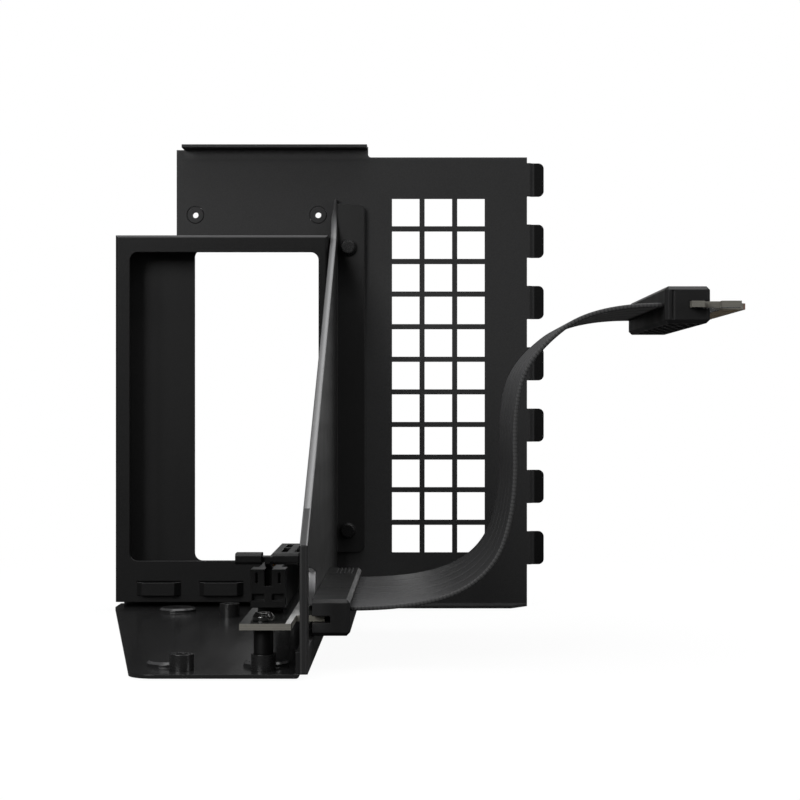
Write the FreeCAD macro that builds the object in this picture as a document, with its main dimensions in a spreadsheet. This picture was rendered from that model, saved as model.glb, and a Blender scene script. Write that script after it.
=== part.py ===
import FreeCAD, Part
import math
import os
import Sketcher

# A mount that stands a graphics card upright beside a motherboard: folded steel plates carry a
# riser board with a card socket, and a flat riser cable ends in a plug for the motherboard slot.
# Frame: X to the right, Y towards the rear plate, Z up, millimetres. The origin is on the ground
# under the middle of the box round the mount, without its cable.

SIZES = {
    # Whole mount
    "overall_width": 140.0,
    "overall_depth": 170.0,
    "overall_height": 152.0,
    "sheet": 1.0,
    "fold_radius": 1.0,
    "slot_pitch": 20.32,
    # Rear plate
    "plate_width": 116.0,
    "shoulder_drop": 3.4,
    "shoulder_from_right": 52.6,
    "flange_radius": 2.5,
    "lip_depth": 7.0,
    "lip_left_inset": 2.5,
    "lip_right_inset": 0.2,
    "shoulder_corner": 1.0,
    "foot_left": 2.6,
    "foot_chamfer": 5.6,
    "tab_length": 5.6,
    "tab_height": 11.0,
    "tab_neck": 0.9,
    "tab_radius": 1.8,
    "tab_lowest": 13.8,
    "joggle": 1.0,
    "vent_size": 9.1,
    "vent_pitch": 10.8,
    "vent_from_right": 14.0,
    "vent_lowest": 17.8,
    "opening_width": 41.6,
    "opening_low": 15.1,
    "opening_height": 103.0,
    "opening_radius": 2.6,
    "nut_above": 129.5,
    "nut_radius": 2.9,
    "nut_bore": 1.0,
    "nut_from_opening": 20.54,
    "nut_rim": 0.3,
    "press_play": 0.02,
    # Bracket frame
    "frame_width": 69.1,
    "frame_low": 2.6,
    "frame_height": 119.25,
    "frame_depth": 12.0,
    "window_left_rail": 4.65,
    "window_right_rail": 3.1,
    "window_low": 13.3,
    "window_top_rail": 5.55,
    "bridge_width": 14.3,
    "bridge_height": 4.5,
    "bridge_low": 4.9,
    "bridge_rise": 2.5,
    "bridge_slope": 1.85,
    "bridge_slit": 0.4,
    "bridge_from_right": 14.3,
    "card_screw_bore": 1.4,
    "card_screw_back": 3.0,
    # Base tray
    "tray_front_left": 42.0,
    "tray_corner_radius": 7.0,
    "tray_flange": 6.4,
    "emboss_radius": 5.8,
    "emboss_rise": 1.4,
    "emboss_bevel": 0.6,
    "emboss_front_row": 17.0,
    "emboss_rear_row": 142.5,
    "emboss_rear_left": 48.0,
    "emboss_front_left": 34.2,
    # Standoffs, spacers and screws that carry the riser board
    "standoff_radius": 3.1,
    "standoff_height": 4.1,
    "standoff_bore": 1.55,
    "standoff_wall": 0.55,
    "standoff_play": 0.05,
    "shank_radius": 1.45,
    "standoff_front": 8.0,
    "standoff_span": 120.0,
    "spacer_radius": 2.45,
    "spacer_height": 6.5,
    "screw_head_radius": 2.7,
    "screw_head_height": 2.2,
    "drive_width": 0.8,
    "drive_length": 3.0,
    "drive_depth": 1.0,
    # Side plate
    "side_thickness": 2.0,
    "side_left": -0.4,
    "side_low": 1.0,
    "side_top": 134.5,
    "side_top_depth": 2.6,
    "side_slope_start": 123.2,
    "side_sweep": 13.0,
    "side_tip_width": 1.2,
    "side_tip_height": 8.0,
    "side_nose": 32.6,
    "side_flange_width": 9.2,
    "side_flange_low": 18.0,
    "side_flange_top": 133.0,
    "side_screw_low": 25.2,
    "side_screw_high": 118.6,
    "side_screw_out": 3.6,
    "side_screw_radius": 2.65,
    "side_edge_round": 0.45,
    "pass_below": 1.0,
    "pass_above": 1.2,
    "pass_behind": 4.0,
    "pass_front": 5.5,
    "pass_step": 36.0,
    "pass_step_rise": 8.7,
    "pass_ramp": 3.0,
    "pass_front_rise": 12.6,
    # Riser board and card socket
    "socket_x": -9.8,
    "board_thickness": 1.6,
    "board_left": 5.5,
    "board_right": 7.2,
    "board_wing": 14.5,
    "board_front": 2.0,
    "board_length": 132.0,
    "wing_front": 21.0,
    "wing_length": 91.0,
    "socket_width": 6.6,
    "socket_height": 11.6,
    "socket_front": 22.0,
    "socket_length": 91.0,
    "tower_width": 9.0,
    "tower_length": 8.0,
    "tower_lift": 1.8,
    "card_gap": 1.8,
    "card_depth": 8.6,
    "key_from_tower": 66.0,
    "key_length": 1.8,
    "short_run": 11.0,
    "contact_pitch": 1.0,
    "contact_width": 0.6,
    "contact_depth": 0.8,
    "contact_drop": 1.2,
    "contact_play": 0.05,
    "contact_gap": 0.3,
    "contact_rail": 0.6,
    "slot_end": 1.0,
    "socket_bevel": 0.4,
    "tower_wall": 1.2,
    "tower_slot_depth": 4.2,
    "slit_width": 0.6,
    "slit_height": 2.6,
    "slit_drop": 0.9,
    "slit_out": 2.9,
    "port_width": 3.1,
    "port_height": 1.6,
    "port_in": 1.0,
    "port_lift": 3.7,
    # Card latch
    "latch_stem": 1.4,
    "latch_depth": 2.2,
    "latch_heel": 1.0,
    "latch_clearance": 0.2,
    "latch_floor": 0.6,
    "latch_pivot_back": 4.2,
    "latch_pivot_lift": 4.0,
    "latch_pin_radius": 0.9,
    "latch_pin_length": 5.6,
    "latch_pin_play": 0.06,
    "wing_span": 16.2,
    "wing_gap": 2.8,
    "wing_thickness": 2.8,
    "wing_above": 1.5,
    "wing_reach": 6.0,
    "wing_back": 2.6,
    "wing_bevel": 0.6,
    "wing_root": 0.4,
    "saddle_drop": 0.9,
    "saddle_front": 1.4,
    # Cable cover, plug and ribbon
    "cover_gap": 0.1,
    "cover_right": 11.3,
    "cover_low": 8.2,
    "cover_height": 9.3,
    "cover_front": 18.0,
    "cover_length": 96.0,
    "cover_chamfer": 0.9,
    "board_play": 0.1,
    "cover_slot_extra": 1.6,
    "cover_groove": 0.6,
    "cover_groove_depth": 0.4,
    "cover_groove_back": 73.0,
    "cover_groove_left": 0.3,
    "cover_groove_length": 7.6,
    "cover_rib_left": 2.9,
    "cover_rib_pitch": 1.1,
    "cover_rib_gap": 0.5,
    "cover_rib_back": 3.0,
    "dimple_size": 0.8,
    "dimple_depth": 0.3,
    "dimple_pitch": 1.9,
    "dimple_left": 0.2,
    "dimple_back": 30.6,
    "ribbon_thickness": 1.15,
    "ribbon_front": 20.0,
    "strip_width": 16.6,
    "strip_gap": 0.3,
    "plug_width": 11.5,
    "plug_height": 9.4,
    "plug_front": 18.0,
    "plug_length": 87.0,
    "plug_seam": 1.7,
    "plug_seam_width": 0.7,
    "plug_seam_depth": 0.3,
    "plug_bevel_inset": 1.0,
    "plug_board_depth": 5.2,
    "plug_board_end": 1.5,
    "grip_margin": 3.0,
    "grip_inset": 1.4,
    "grip_depth": 0.6,
    "tongue_out": 10.5,
    "tongue_back": 13.5,
    "tongue_bevel": 0.6,
    "tongue_key": 55.0,
    "tongue_root": 1.8,
    "ear_out": 4.0,
    "ear_left": 2.0,
    "ear_dip": 3.4,
    "hook_left": 2.3,
    "hook_right": 7.3,
    "hook_back": 5.0,
}
TAB_COUNT = 7
VENT_COLUMNS = 3
VENT_ROWS = 11
CARD_SLOTS = 3
STRIP_COUNT = 5
LONG_CONTACTS = 62
SHORT_CONTACTS = 10
DIMPLE_COUNT = 5
RIB_GAPS = 5
# Shares of a pan head's radius and height where its crown starts and ends
CROWN_START = 0.55
CROWN_TOP = 0.75
TOP_ROUND_SHARE = 0.9
# The ribbon's route in its own plane: X and Z of each corner, from the cover to the plug.
ROUTE = [
    (11.3, 15.0),
    (29.6, 15.0),
    (47.6, 23.4),
    (53.6, 41.6),
    (52.9, 67.1),
    (57.6, 80.1),
    (73.3, 92.3),
    (91.2, 92.3),
]
RUN_SHARE = 0.45
HALF_BEND = math.tan(math.radians(22.5))
CLOSE = 0.01
AXES = {
    "X": FreeCAD.Vector(1, 0, 0),
    "Y": FreeCAD.Vector(0, 1, 0),
    "Z": FreeCAD.Vector(0, 0, 1),
}

doc = FreeCAD.newDocument("VerticalCardMount")
sheet = doc.addObject("Spreadsheet::Sheet", "Sizes")


def number(value):
    """The plain number of a Size or of a number."""
    return value.number if isinstance(value, Size) else float(value)


def formula(value):
    """The sheet formula of a Size or of a number."""
    return value.formula if isinstance(value, Size) else repr(float(value))


class Size:
    """A length that keeps its number together with the sheet formula that gives it."""

    def __init__(self, number_now, sheet_formula):
        self.number = number_now
        self.formula = sheet_formula

    def __add__(self, other):
        return Size(self.number + number(other), f"({self.formula} + {formula(other)})")

    __radd__ = __add__

    def __sub__(self, other):
        return Size(self.number - number(other), f"({self.formula} - {formula(other)})")

    def __rsub__(self, other):
        return Size(number(other) - self.number, f"({formula(other)} - {self.formula})")

    def __mul__(self, other):
        return Size(self.number * number(other), f"({self.formula} * {formula(other)})")

    __rmul__ = __mul__

    def __truediv__(self, other):
        return Size(self.number / number(other), f"({self.formula} / {formula(other)})")

    def __neg__(self):
        return Size(-self.number, f"(0 - {self.formula})")


class Sheet:
    """The driving sizes, read by name."""

    def __getattr__(self, name):
        return Size(SIZES[name], f"Sizes.{name}")


def fill_sheet():
    for row, (name, value) in enumerate(SIZES.items(), 1):
        sheet.set(f"A{row}", name)
        sheet.set(f"B{row}", str(value))
        sheet.setAlias(f"B{row}", name)
    doc.recompute()


fill_sheet()
d = Sheet()

# Places that several pieces share
left_side = -d.overall_width / 2
right_side = d.overall_width / 2
front = -d.overall_depth / 2
rear = d.overall_depth / 2
plate_front = rear - d.joggle - d.sheet
plate_back = rear - d.joggle
plate_right = right_side - d.tab_length
plate_left = plate_right - d.plate_width
side_right = d.side_left + d.side_thickness
frame_right = left_side + d.frame_width
frame_front = plate_front - d.frame_depth
frame_top = d.frame_low + d.frame_height
window_left = left_side + d.window_left_rail
window_right = frame_right - d.window_right_rail
window_low = d.frame_low + d.window_low
window_top = frame_top - d.window_top_rail
opening_left = window_right - d.opening_width
opening_top = d.opening_low + d.opening_height
bridge_first = frame_right - d.bridge_from_right - 2 * d.slot_pitch
nut_first = opening_left + d.nut_from_opening - d.slot_pitch
nut_span = 2 * d.slot_pitch
side_screw_x = side_right + d.side_screw_out
standoff_top = d.sheet + d.standoff_height
board_low = standoff_top + d.spacer_height
board_top = board_low + d.board_thickness
post_front = front + d.standoff_front
post_left = d.socket_x - d.slot_pitch
tower_front = front + d.socket_front
tower_back = tower_front + d.tower_length
socket_back = tower_front + d.socket_length
socket_top = board_top + d.socket_height
slot_floor = socket_top - d.card_depth
key_front = tower_back + d.key_from_tower
key_back = key_front + d.key_length
pivot_y = tower_front + d.latch_pivot_back
pivot_z = board_top + d.latch_pivot_lift
cover_left = side_right + d.cover_gap
cover_front = front + d.cover_front
cover_top = d.cover_low + d.cover_height
ribbon_front = front + d.ribbon_front
plug_front = front + d.plug_front
plug_left = ROUTE[-1][0]
plug_low = ROUTE[-1][1] - d.plug_height / 2
tongue_low = ROUTE[-1][1] - d.board_thickness / 2


def new_body(label):
    body = doc.addObject("PartDesign::Body", label)
    body.Label = label
    return body


def origin_part(body, role):
    return next(part for part in body.Origin.OriginFeatures if part.Role == role)


def new_sketch(body, plane, level):
    """A sketch on one of the body's own planes, moved to a level. The XZ plane faces -Y."""
    sketch = body.newObject("Sketcher::SketchObject", "Sketch")
    sketch.AttachmentSupport = [(origin_part(body, plane), "")]
    sketch.MapMode = "FlatFace"
    side = 0 - level if plane == "XZ_Plane" else level
    sketch.setExpression("AttachmentOffset.Base.z", formula(side))
    return sketch


def hold(sketch, kind, where, value):
    """One bound constraint: a distance from the origin, or a radius."""
    place = sketch.addConstraint(Sketcher.Constraint(kind, *where, number(value)))
    if isinstance(value, Size):
        sketch.setExpression(f"Constraints[{place}]", value.formula)


def box(u_low, u_high, v_low, v_high):
    return [(u_low, v_low), (u_high, v_low), (u_high, v_high), (u_low, v_high)]


def disc(u, v, radius):
    return (u, v, radius)


def draw_outline(sketch, points):
    first = sketch.GeometryCount
    corners = [FreeCAD.Vector(number(u), number(v), 0) for u, v in points]
    ends = corners[1:] + corners[:1]
    for start, end in zip(corners, ends):
        sketch.addGeometry(Part.LineSegment(start, end))
    for place in range(len(corners)):
        following = first + (place + 1) % len(corners)
        sketch.addConstraint(Sketcher.Constraint("Coincident", first + place, 2, following, 1))
    for place, (u, v) in enumerate(points):
        hold(sketch, "DistanceX", (-1, 1, first + place, 1), u)
        hold(sketch, "DistanceY", (-1, 1, first + place, 1), v)


def draw_disc(sketch, u, v, radius):
    middle = FreeCAD.Vector(number(u), number(v), 0)
    ring = sketch.addGeometry(Part.Circle(middle, AXES["Z"], number(radius)))
    hold(sketch, "DistanceX", (-1, 1, ring, 3), u)
    hold(sketch, "DistanceY", (-1, 1, ring, 3), v)
    hold(sketch, "Radius", (ring,), radius)


def draw(sketch, shapes):
    for shape in shapes:
        if isinstance(shape, list):
            draw_outline(sketch, shape)
        else:
            draw_disc(sketch, *shape)


def set_length(feature, value):
    feature.Length = number(value)
    feature.setExpression("Length", formula(value))


def add(body, plane, shapes, low, high):
    """Pad closed outlines from low to high along the axis across the plane."""
    sketch = new_sketch(body, plane, high if plane == "XZ_Plane" else low)
    draw(sketch, shapes)
    pad = body.newObject("PartDesign::Pad", "Pad")
    pad.Profile = sketch
    set_length(pad, high - low)
    doc.recompute()
    return pad


def cut(body, plane, shapes, low, high):
    """Pocket closed outlines from low to high, and make sure that material went."""
    before = body.Shape.Volume
    sketch = new_sketch(body, plane, low if plane == "XZ_Plane" else high)
    draw(sketch, shapes)
    pocket = body.newObject("PartDesign::Pocket", "Pocket")
    pocket.Profile = sketch
    set_length(pocket, high - low)
    doc.recompute()
    if body.Shape.Volume > before - CLOSE:
        raise RuntimeError(f"a pocket of {body.Label} cut nothing")
    return pocket


def turn(body, plane, points, place, axis):
    """Revolve a half profile about an axis of a sketch whose origin is at a place."""
    sketch = new_sketch(body, plane, place[1] if plane == "XZ_Plane" else place[2])
    up = place[2] if plane == "XZ_Plane" else place[1]
    sketch.setExpression("AttachmentOffset.Base.x", formula(place[0]))
    sketch.setExpression("AttachmentOffset.Base.y", formula(up))
    draw_outline(sketch, points)
    turned = body.newObject("PartDesign::Revolution", "Revolution")
    turned.Profile = sketch
    turned.ReferenceAxis = (sketch, [axis])
    turned.Angle = 360
    doc.recompute()
    return turned


def repeat(body, features, axis, pitch, count):
    """A row of the features along a body axis."""
    row = body.newObject("PartDesign::LinearPattern", "Row")
    row.Originals = features
    row.Direction = (origin_part(body, axis + "_Axis"), [""])
    row.Length = number(pitch) * (count - 1)
    row.setExpression("Length", formula(pitch * (count - 1)))
    row.Occurrences = count
    body.Tip = row
    doc.recompute()
    return row


def grid(body, feature, first_axis, first_pitch, second_axis, second_pitch):
    """Two by two copies of a feature."""
    multi = body.newObject("PartDesign::MultiTransform", "Grid")
    multi.Originals = [feature]
    rows = []
    for axis, pitch in ((first_axis, first_pitch), (second_axis, second_pitch)):
        row = body.newObject("PartDesign::LinearPattern", "Row")
        row.Direction = (origin_part(body, axis + "_Axis"), [""])
        row.Length = number(pitch)
        row.setExpression("Length", formula(pitch))
        row.Occurrences = 2
        rows.append(row)
    multi.Transformations = rows
    body.Tip = multi
    doc.recompute()
    return multi


def edges_along(body, axis, x=None, y=None, z=None):
    """Names of the straight edges along an axis whose middle has the places that are given."""
    names = []
    for place, edge in enumerate(body.Shape.Edges, 1):
        if edge.Curve.TypeId != "Part::GeomLine":
            continue
        if abs(edge.tangentAt(edge.FirstParameter).dot(AXES[axis])) < 1 - CLOSE:
            continue
        pairs = zip((x, y, z), edge.CenterOfMass)
        if all(want is None or abs(number(want) - got) < CLOSE for want, got in pairs):
            names.append(f"Edge{place}")
    return names


def dress(body, kind, names, value):
    """Round or bevel named edges of the body's last feature."""
    if not names:
        raise RuntimeError(f"no edge of {body.Label} to {kind}")
    done = body.newObject("PartDesign::" + kind, kind)
    done.Base = (body.Tip if body.Tip != done else body.Group[-2], names)
    field = "Radius" if kind == "Fillet" else "Size"
    setattr(done, field, number(value))
    done.setExpression(field, formula(value))
    body.Tip = done
    doc.recompute()
    return done


def rear_plate():
    """Flat sheet with a shoulder, two folded lips, tongues for the case, a vent grid and an opening."""
    body = new_body("rear_plate")
    plate_top = d.overall_height
    shoulder_x = plate_right - d.shoulder_from_right
    shoulder_top = plate_top - d.shoulder_drop
    low_left = left_side + d.sheet
    low_top = frame_top - d.sheet
    outline = [
        (low_left, 0),
        (plate_right, 0),
        (plate_right, shoulder_top),
        (shoulder_x, shoulder_top),
        (shoulder_x, plate_top),
        (plate_left, plate_top),
        (plate_left, low_top),
        (low_left, low_top),
    ]
    add(body, "XZ_Plane", [outline], plate_front, plate_back)
    lip_front = plate_front - d.lip_depth
    lip_left = plate_left + d.lip_left_inset
    relief = box(plate_left, lip_left, plate_top - d.sheet, plate_top)
    cut(body, "XZ_Plane", [relief], plate_front, plate_back)
    top_lip = box(lip_left, shoulder_x - d.lip_right_inset, lip_front, plate_back)
    add(body, "XY_Plane", [top_lip], plate_top - d.sheet, plate_top)
    foot = [
        (d.foot_left, plate_back),
        (d.foot_left, lip_front),
        (plate_right - d.foot_chamfer, lip_front),
        (plate_right, plate_front),
        (plate_right, plate_back),
    ]
    add(body, "XY_Plane", [foot], 0, d.sheet)
    bend = plate_right + d.tab_neck
    tab = [
        (plate_right - d.sheet, plate_front),
        (bend, plate_front),
        (bend + d.joggle, plate_front + d.joggle),
        (right_side, plate_front + d.joggle),
        (right_side, rear),
        (bend + d.joggle - HALF_BEND * d.sheet, rear),
        (bend - HALF_BEND * d.sheet, plate_back),
        (plate_right - d.sheet, plate_back),
    ]
    tongue = add(body, "XY_Plane", [tab], d.tab_lowest, d.tab_lowest + d.tab_height)
    repeat(body, [tongue], "Z", d.slot_pitch, TAB_COUNT)
    dress(body, "Fillet", edges_along(body, "Y", x=right_side), d.tab_radius)
    vent_left = plate_right - d.vent_from_right - (VENT_COLUMNS - 1) * d.vent_pitch - d.vent_size
    row = []
    for column in range(VENT_COLUMNS):
        left = vent_left + column * d.vent_pitch
        row.append(box(left, left + d.vent_size, d.vent_lowest, d.vent_lowest + d.vent_size))
    vents = cut(body, "XZ_Plane", row, plate_front, plate_back)
    repeat(body, [vents], "Z", d.vent_pitch, VENT_ROWS)
    opening = box(opening_left, window_right, d.opening_low, opening_top)
    cut(body, "XZ_Plane", [opening], plate_front, plate_back)
    corners = edges_along(body, "Y", x=opening_left) + edges_along(body, "Y", x=window_right)
    dress(body, "Fillet", corners, d.opening_radius)
    holes = [disc(nut_first + step * nut_span, d.nut_above, d.nut_radius) for step in (0, 1)]
    for screw_z in (d.side_screw_low, d.side_screw_high):
        holes.append(disc(side_screw_x, screw_z, d.standoff_bore))
    cut(body, "XZ_Plane", holes, plate_front, plate_back)
    dress(body, "Fillet", edges_along(body, "Y", x=shoulder_x, z=shoulder_top), d.shoulder_corner)
    folds = edges_along(body, "X", y=plate_back, z=0)
    folds += edges_along(body, "X", y=plate_back, z=plate_top)
    dress(body, "Fillet", folds, TOP_ROUND_SHARE * d.fold_radius)
    return body


def clinch_nuts():
    """Flush threaded inserts for the case screws."""
    body = new_body("clinch_nuts")
    barrel = d.nut_radius - d.press_play
    profile = [
        (d.nut_bore, 0),
        (barrel - d.nut_rim, 0),
        (barrel, d.nut_rim),
        (barrel, d.sheet + d.joggle),
        (d.nut_bore, d.sheet + d.joggle),
    ]
    nut = turn(body, "XY_Plane", profile, (nut_first, plate_front, d.nut_above), "V_Axis")
    repeat(body, [nut], "X", nut_span, 2)
    return body


def bracket_frame():
    """Folded box frame: a front with the card window, four walls, and a bridge for each bracket tongue."""
    body = new_body("bracket_frame")
    outer = box(left_side, frame_right, d.frame_low, frame_top)
    add(body, "XZ_Plane", [outer], frame_front, plate_front)
    folds = edges_along(body, "X", y=frame_front, z=frame_top) + edges_along(body, "Z", y=frame_front)
    dress(body, "Fillet", folds, d.fold_radius)
    inner = box(
        left_side + d.sheet,
        frame_right - d.sheet,
        d.frame_low + d.sheet,
        frame_top - d.sheet,
    )
    face_back = frame_front + d.sheet
    cut(body, "XZ_Plane", [inner], face_back, plate_front)
    window = box(window_left, window_right, window_low, window_top)
    cut(body, "XZ_Plane", [window], frame_front, face_back)
    corners = edges_along(body, "Y", x=window_left) + edges_along(body, "Y", x=window_right)
    dress(body, "Fillet", corners, d.opening_radius)
    bridge_top = d.bridge_low + d.bridge_height
    half = d.bridge_width / 2
    lance = box(bridge_first - half, bridge_first + half, d.bridge_low, bridge_top)
    slot = cut(body, "XZ_Plane", [lance], frame_front, face_back)
    crest = frame_front - d.bridge_rise
    foot = d.sheet / 2
    strap = [
        (bridge_first - half - foot, frame_front),
        (bridge_first - half, frame_front),
        (bridge_first - half + d.bridge_slope, crest),
        (bridge_first + half - d.bridge_slope, crest),
        (bridge_first + half, frame_front),
        (bridge_first + half + foot, frame_front),
        (bridge_first + half + foot, face_back),
        (bridge_first + half - foot, face_back),
        (bridge_first + half - foot - d.bridge_slope, crest + d.sheet),
        (bridge_first - half + foot + d.bridge_slope, crest + d.sheet),
        (bridge_first - half + foot, face_back),
        (bridge_first - half - foot, face_back),
    ]
    bridge = add(body, "XY_Plane", [strap], d.bridge_low, bridge_top - d.bridge_slit)
    repeat(body, [slot, bridge], "X", d.slot_pitch, CARD_SLOTS)
    middle = frame_front + d.card_screw_back
    tapped = []
    for slot_number in range(CARD_SLOTS):
        tapped.append(disc(bridge_first + slot_number * d.slot_pitch, middle, d.card_screw_bore))
    cut(body, "XY_Plane", tapped, frame_top - d.sheet, frame_top)
    return body


def base_tray():
    """Tapered floor with a rounded corner, a folded flange for the side plate and four embosses."""
    body = new_body("base_tray")
    outline = [
        (left_side, plate_front),
        (left_side, frame_front),
        (-d.tray_front_left, front),
        (d.side_left, front),
        (d.side_left, plate_front),
    ]
    add(body, "XY_Plane", [outline], 0, d.sheet)
    corner = edges_along(body, "Z", x=-d.tray_front_left, y=front)
    dress(body, "Fillet", corner, d.tray_corner_radius)
    flange = box(d.side_left - d.sheet, d.side_left, front + d.sheet, frame_front - d.sheet)
    add(body, "XY_Plane", [flange], 0, d.tray_flange)
    fold = edges_along(body, "Y", x=d.side_left, z=0)
    dress(body, "Fillet", fold, TOP_ROUND_SHARE * d.fold_radius)
    front_row = front + d.emboss_front_row
    rear_row = front + d.emboss_rear_row
    middles = [
        (-d.emboss_front_left, front_row),
        (d.socket_x, front_row),
        (-d.emboss_rear_left, rear_row),
        (d.socket_x, rear_row),
    ]
    top = d.sheet + d.emboss_rise
    add(body, "XY_Plane", [disc(u, v, d.emboss_radius) for u, v in middles], 0, top)
    rims = rims_at(body, top, d.emboss_radius)
    dress(body, "Chamfer", rims, d.emboss_bevel)
    hollow = [disc(u, v, d.emboss_radius - d.sheet) for u, v in middles]
    cut(body, "XY_Plane", hollow, 0, d.emboss_rise)
    hole = d.standoff_bore + d.standoff_wall + d.standoff_play
    holes = []
    for x in (d.socket_x, post_left):
        holes += [disc(x, post_front + step * d.standoff_span, hole) for step in (0, 1)]
    cut(body, "XY_Plane", holes, 0, d.sheet)
    return body


def rims_at(body, level, radius):
    """Names of the round edges of one radius at one height."""
    names = []
    for place, edge in enumerate(body.Shape.Edges, 1):
        if edge.Curve.TypeId != "Part::GeomCircle":
            continue
        if abs(edge.Curve.Radius - number(radius)) > CLOSE:
            continue
        if abs(edge.CenterOfMass.z - number(level)) < CLOSE:
            names.append(f"Edge{place}")
    return names


def tray_standoffs():
    """Threaded posts clinched into the tray, for two places of the riser."""
    body = new_body("tray_standoffs")
    shank = d.standoff_bore + d.standoff_wall
    profile = [
        (d.standoff_bore, 0),
        (shank, 0),
        (shank, d.sheet),
        (d.standoff_radius, d.sheet),
        (d.standoff_radius, standoff_top),
        (d.standoff_bore, standoff_top),
    ]
    post = turn(body, "XZ_Plane", profile, (post_left, post_front, 0), "V_Axis")
    grid(body, post, "X", d.slot_pitch, "Y", d.standoff_span)
    return body


def board_spacers():
    """Plain sleeves between the posts and the riser board."""
    body = new_body("board_spacers")
    tube = box(d.standoff_bore, d.spacer_radius, standoff_top, board_low)
    sleeve = turn(body, "XZ_Plane", tube, (d.socket_x, post_front, 0), "V_Axis")
    repeat(body, [sleeve], "Y", d.standoff_span, 2)
    return body


def board_screws():
    """Pan-head screws through the board and sleeves into the posts."""
    body = new_body("board_screws")
    head_top = board_top + d.screw_head_height
    profile = [
        (0, 2 * d.sheet),
        (d.shank_radius, 2 * d.sheet),
        (d.shank_radius, board_top),
        (d.screw_head_radius, board_top),
        (d.screw_head_radius, board_top + d.screw_head_height * CROWN_START),
        (d.screw_head_radius * CROWN_TOP, head_top),
        (0, head_top),
    ]
    screw = turn(body, "XZ_Plane", profile, (d.socket_x, post_front, 0), "V_Axis")
    repeat(body, [screw], "Y", d.standoff_span, 2)
    wide, narrow = d.drive_length / 2, d.drive_width / 2
    for step in (0, 1):
        y = post_front + step * d.standoff_span
        for reach_x, reach_y in ((wide, narrow), (narrow, wide)):
            bar = box(d.socket_x - reach_x, d.socket_x + reach_x, y - reach_y, y + reach_y)
            cut(body, "XY_Plane", [bar], head_top - d.drive_depth, head_top)
    return body


def side_plate():
    """Sloped gusset between tray and rear plate, with a folded flange and a pass-through for the riser."""
    body = new_body("side_plate")
    nose = front
    top_front = plate_front - d.side_top_depth
    outline = [
        (nose, d.side_low),
        (plate_front, d.side_low),
        (plate_front, d.side_top),
        (top_front, d.side_top),
        (top_front, d.side_slope_start),
        (nose, d.side_nose),
    ]
    add(body, "YZ_Plane", [outline], d.side_left, side_right)
    flange_front = plate_front - d.side_thickness
    flange = box(d.side_left, side_right + d.side_flange_width, flange_front, plate_front)
    add(body, "XY_Plane", [flange], d.side_flange_low, d.side_flange_top)
    pass_front = front + d.pass_front
    pass_step = front + d.pass_step
    ramp_front = pass_step - d.pass_ramp
    pass_back = cover_front + d.cover_length + d.pass_behind
    pass_low = d.cover_low - d.pass_below
    pass_top = board_top + d.pass_above
    window = [
        (pass_front, pass_low),
        (pass_back, pass_low),
        (pass_back, pass_top),
        (ramp_front, pass_top),
        (pass_step, pass_top + d.pass_step_rise),
        (pass_front, pass_top + d.pass_front_rise),
    ]
    cut(body, "YZ_Plane", [window], d.side_left, side_right)
    holes = [disc(side_screw_x, z, d.standoff_bore) for z in (d.side_screw_low, d.side_screw_high)]
    cut(body, "XZ_Plane", holes, flange_front, plate_front)
    sweep = edges_along(body, "X", y=top_front, z=d.side_slope_start)
    dress(body, "Fillet", sweep, d.side_sweep)
    tips = edges_along(body, "Y", x=side_right + d.side_flange_width)
    dress(body, "Fillet", tips, d.flange_radius)
    slope = []
    for x in (d.side_left, side_right):
        slope += slanted_edges(body, x) + edges_along(body, "Z", x=x, y=nose)
    dress(body, "Fillet", slope, d.side_edge_round)
    tip = [
        (d.side_left, d.side_top - d.side_tip_height),
        (d.side_left + d.side_tip_width, d.side_top),
        (d.side_left, d.side_top),
    ]
    cut(body, "XZ_Plane", [tip], top_front, plate_front)
    return body


def slanted_edges(body, x):
    """Names of the edges of the gusset's long slope on one face."""
    run = plate_front - d.side_top_depth - front
    rise = d.side_slope_start - d.side_nose
    way = FreeCAD.Vector(0, number(run), number(rise)).normalize()
    names = []
    for place, edge in enumerate(body.Shape.Edges, 1):
        if edge.Curve.TypeId != "Part::GeomLine":
            continue
        along = abs(edge.tangentAt(edge.FirstParameter).dot(way)) > 1 - CLOSE / 100
        if along and abs(edge.CenterOfMass.x - number(x)) < CLOSE:
            names.append(f"Edge{place}")
    return names


def side_plate_screws():
    """Black pan-head screws that hold the gusset's flange to the rear plate."""
    body = new_body("side_plate_screws")
    head = d.screw_head_height
    seat = plate_front - d.side_thickness
    profile = [
        (0, -head),
        (d.side_screw_radius * CROWN_TOP, -head),
        (d.side_screw_radius, -head * CROWN_START),
        (d.side_screw_radius, 0),
        (d.shank_radius, 0),
        (d.shank_radius, d.side_thickness + d.sheet),
        (0, d.side_thickness + d.sheet),
    ]
    screw = turn(body, "XY_Plane", profile, (side_screw_x, seat, d.side_screw_low), "V_Axis")
    repeat(body, [screw], "Z", d.side_screw_high - d.side_screw_low, 2)
    return body


def riser_board():
    """Riser circuit board: a long strip under the socket with a wing that reaches into the cable cover."""
    body = new_body("riser_board")
    left = d.socket_x - d.board_left
    right = d.socket_x + d.board_right
    near = front + d.board_front
    far = near + d.board_length
    wing_near = front + d.wing_front
    wing_far = wing_near + d.wing_length
    outline = [
        (left, near),
        (right, near),
        (right, wing_near),
        (d.socket_x + d.board_wing, wing_near),
        (d.socket_x + d.board_wing, wing_far),
        (right, wing_far),
        (right, far),
        (left, far),
    ]
    add(body, "XY_Plane", [outline], board_low, board_top)
    holes = [disc(d.socket_x, post_front + step * d.standoff_span, d.standoff_bore) for step in (0, 1)]
    cut(body, "XY_Plane", holes, board_low, board_top)
    return body


def slot_runs():
    """Near and far end of the two runs of the card slot, either side of the key."""
    return ((tower_back + d.slot_end, key_front), (key_back, key_back + d.short_run))


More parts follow.
